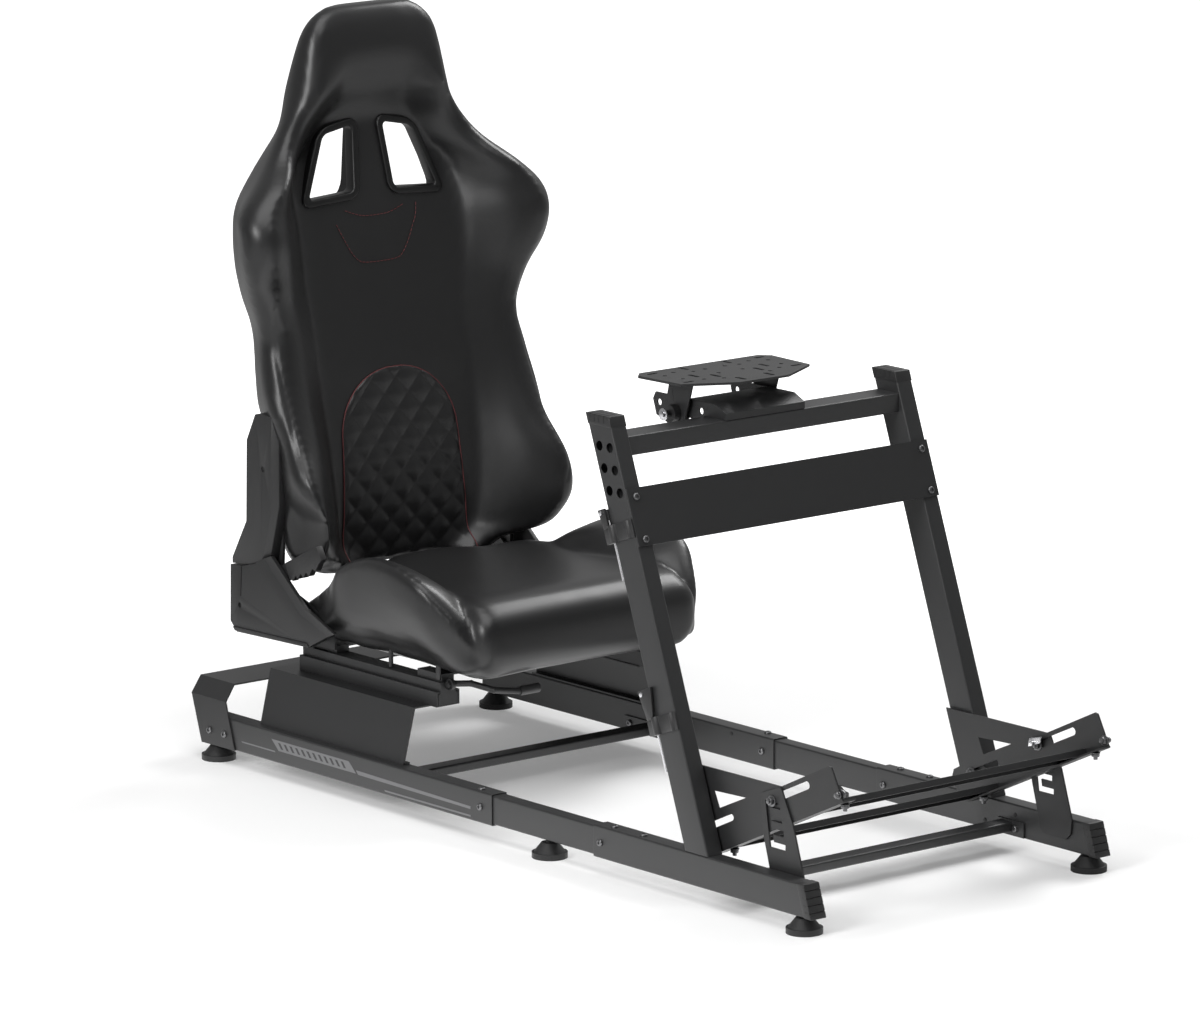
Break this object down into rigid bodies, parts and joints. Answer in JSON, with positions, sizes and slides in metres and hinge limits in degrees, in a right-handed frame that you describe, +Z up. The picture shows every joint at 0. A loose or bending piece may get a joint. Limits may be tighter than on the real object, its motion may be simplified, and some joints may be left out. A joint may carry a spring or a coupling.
{
  "type": "sim racing cockpit",
  "caption": "Low steel tube frame with a reclining bucket seat on slides, raked uprights with a tilting wheel deck, and a sloping pedal tray.",
  "frame": {"origin": "on the floor, at the middle of the frame's outline", "axes": "+Z up, the driver faces -Y, +X is the driver's left"},
  "size_m": [0.625, 1.532, 1.19],
  "materials": {
    "steel_top": "satin black powder coat",
    "steel_tube": "satin black powder coat",
    "plastic": "matte moulded plastic",
    "gloss": "gloss moulded plastic",
    "leather": "semi-gloss stitched faux leather",
    "bright": "bright plated steel"
  },
  "bodies": {
    "frame": {"rear_arch_bracket": "steel_top", "rail_rear_right": "steel_tube", "rail_rear_left": "steel_tube", "rail_middle_right": "steel_tube", "rail_middle_left": "steel_tube", "rail_front_right": "steel_tube", "rail_front_left": "steel_tube", "tube_caps": "plastic", "feet_right": "plastic", "feet_left": "plastic", "middle_cross_tube": "steel_tube", "front_cross_tube": "steel_tube", "seat_support_right": "steel_top", "seat_support_left": "steel_top", "slide_rail_lower_right": "steel_top", "slide_rail_lower_left": "steel_top", "upright_right": "steel_tube", "upright_left": "steel_tube", "wheel_crossbar": "steel_tube", "brace_plate": "steel_top", "deck_base": "steel_top", "deck_tilt_bolts": "plastic", "tray_plate_right": "steel_top", "tray_plate_left": "steel_top", "tray_leg_right": "steel_top", "tray_leg_left": "steel_top", "pedal_bars": "steel_top", "tool_clips": "plastic", "tool_rods": "bright"},
    "seat": {"slide_rail_upper_right": "steel_top", "slide_rail_upper_left": "steel_top", "seat_base_frame": "steel_top", "seat_cushion": "leather", "recliner_bracket_right": "steel_top", "recliner_bracket_left": "steel_top", "recliner_cover_right": "plastic", "recliner_cover_left": "plastic"},
    "back": {"backrest": "leather", "recliner_arm_right": "plastic", "recliner_arm_left": "plastic", "harness_rims": "gloss", "lumbar_pad": "leather"},
    "lever": {"recline_lever": "plastic"},
    "release": {"slide_release_bar": "plastic"},
    "deck": {"deck_plate": "steel_top"}
  },
  "joints": [
    {"name": "seat_slide", "type": "slide", "parent": "frame", "child": "seat", "axis": [0, -1, 0], "range_m": [-0.06, 0.08]},
    {"name": "backrest_recline", "type": "hinge", "parent": "seat", "child": "back", "pos_m": [0, 0.65, 0.28], "axis": [-1, 0, 0], "range_deg": [-4, 50]},
    {"name": "recline_lever_lift", "type": "hinge", "parent": "seat", "child": "lever", "pos_m": [-0.242, 0.65, 0.28], "axis": [-1, 0, 0], "range_deg": [0, 8], "stiffness_Nm_per_rad": 2, "springref_deg": -17.19},
    {"name": "slide_release_lift", "type": "hinge", "parent": "seat", "child": "release", "pos_m": [-0.214, 0.206, 0.2], "axis": [-1, 0, 0], "range_deg": [0, 8], "stiffness_Nm_per_rad": 1.5, "springref_deg": -17.19},
    {"name": "deck_tilt", "type": "hinge", "parent": "frame", "child": "deck", "pos_m": [0, -0.182, 0.67], "axis": [-1, 0, 0], "range_deg": [-8, 15]}
  ]
}
